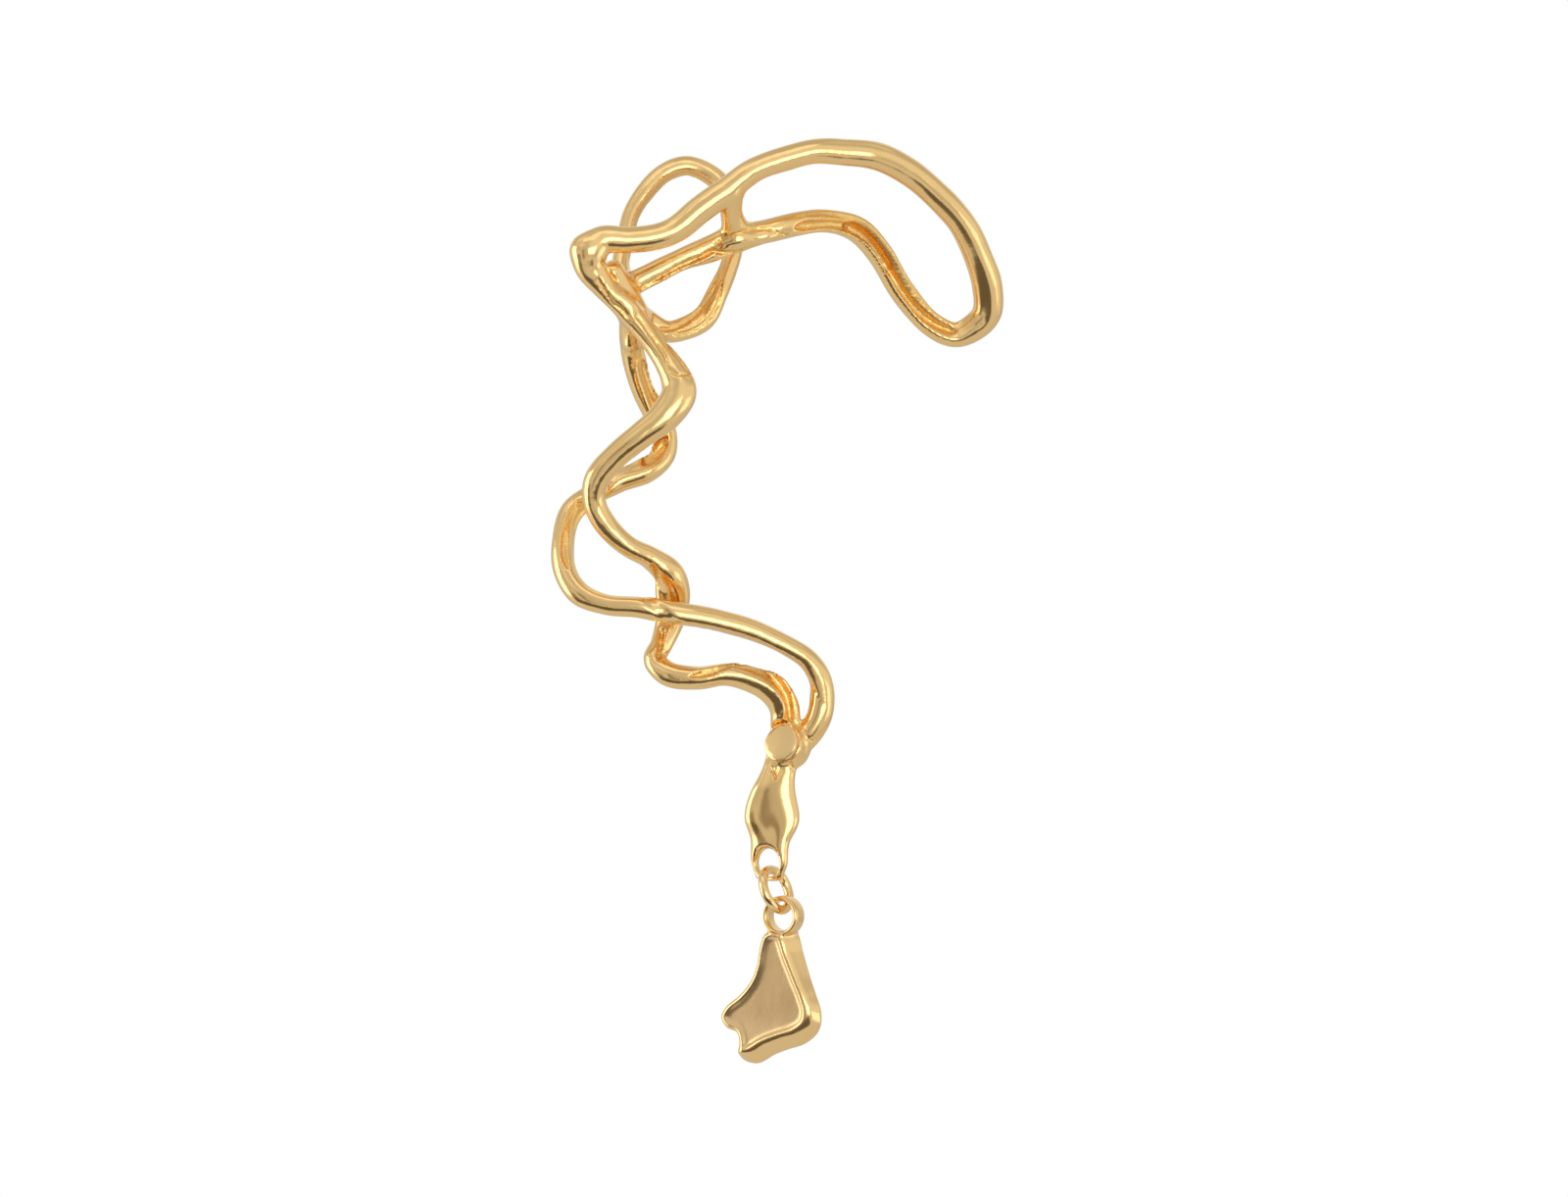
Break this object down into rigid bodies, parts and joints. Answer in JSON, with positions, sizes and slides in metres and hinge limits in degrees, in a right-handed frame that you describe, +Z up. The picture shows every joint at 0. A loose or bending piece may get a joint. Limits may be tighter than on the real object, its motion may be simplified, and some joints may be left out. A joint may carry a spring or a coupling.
{
  "type": "ear cuff with a lobe stud and a hanging pendant",
  "caption": "Long cast-wire ear cuff: a hook over the ear, twisting strands down its front, a flat-headed lobe stud and a dished pendant on a jump ring.",
  "frame": {"origin": "underside of the hook's return strand, where it sits on the root of the ear", "axes": "+Z up along the cuff, +X towards the hook's tip, +Y away from the viewer of its front"},
  "size_m": [0.0438, 0.0167, 0.0895],
  "materials": {
    "polished_gold": "polished cast gold tone with rough amber recesses",
    "bright_gold": "bright drawn wire and flat polished head",
    "satin_gold": "softly brushed dished face with a polished rim"
  },
  "bodies": {
    "cuff": {"cuff_frame": "polished_gold", "lobe_stud": "bright_gold"},
    "ring": {"jump_ring": "bright_gold"},
    "drop": {"pendant": "satin_gold"}
  },
  "joints": [
    {"name": "ring_swing", "type": "hinge", "parent": "cuff", "child": "ring", "pos_m": [-0.00402, -0.00312, -0.06231], "axis": [0.848, -0.5299, 0], "range_deg": [-25, 25]},
    {"name": "drop_swing", "type": "hinge", "parent": "ring", "child": "drop", "pos_m": [-0.00296, -0.00343, -0.06522], "axis": [0.5117, 0.8535, 0.0982], "range_deg": [-45, 45]}
  ]
}
